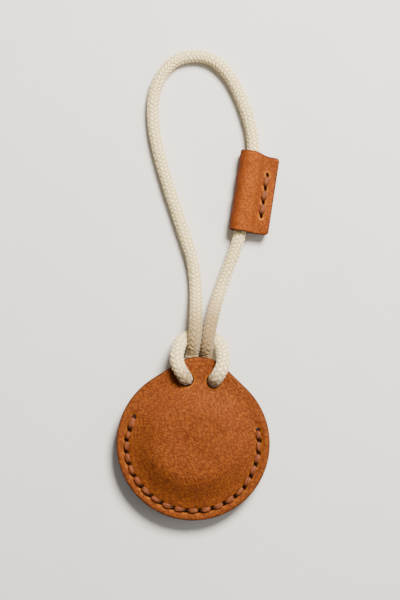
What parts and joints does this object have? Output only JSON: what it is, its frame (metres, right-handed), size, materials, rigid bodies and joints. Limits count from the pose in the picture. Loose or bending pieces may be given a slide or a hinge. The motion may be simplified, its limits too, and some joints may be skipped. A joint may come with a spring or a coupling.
{
  "type": "keychain",
  "caption": "Round stitched leather fob with a tracking tag inside, on a braided cord loop that is hitched through its neck and closed by a small leather sleeve.",
  "frame": {"origin": "on the fob's base plane, below the centre of the fob's outline box; the flat of the back panel's dome lies on this plane", "axes": "+Z out of the front panel, +Y from the fob's round part to its neck and on to the cord loop, +X to the right seen from the front"},
  "size_m": [0.0499, 0.1474, 0.0114],
  "materials": {
    "leather": "vegetable-tanned, waxed, soft sheen",
    "waxed_thread": "waxed flat thread",
    "cotton_cord": "braided cotton, matt",
    "white_plastic": "gloss",
    "steel": "brushed",
    "brass": "satin",
    "board": "solder mask"
  },
  "bodies": {
    "fob": {"front_panel": "leather", "back_panel": "leather", "fob_thread": "waxed_thread", "tag_shell": "white_plastic", "tag_cover": "steel", "coin_cell": "steel", "cell_contact": "brass", "circuit_board": "board", "sounder": "brass", "cord_hitch": "cotton_cord"},
    "loop": {"cord_long_side": "cotton_cord", "cord_short_side": "cotton_cord", "cord_sleeve": "leather", "sleeve_thread": "waxed_thread"}
  },
  "joints": [
    {"name": "loop_swing", "type": "hinge", "parent": "fob", "child": "loop", "pos_m": [0, 0.03901, 0.00449], "axis": [1, 0, 0], "range_deg": [-75, 90]}
  ]
}
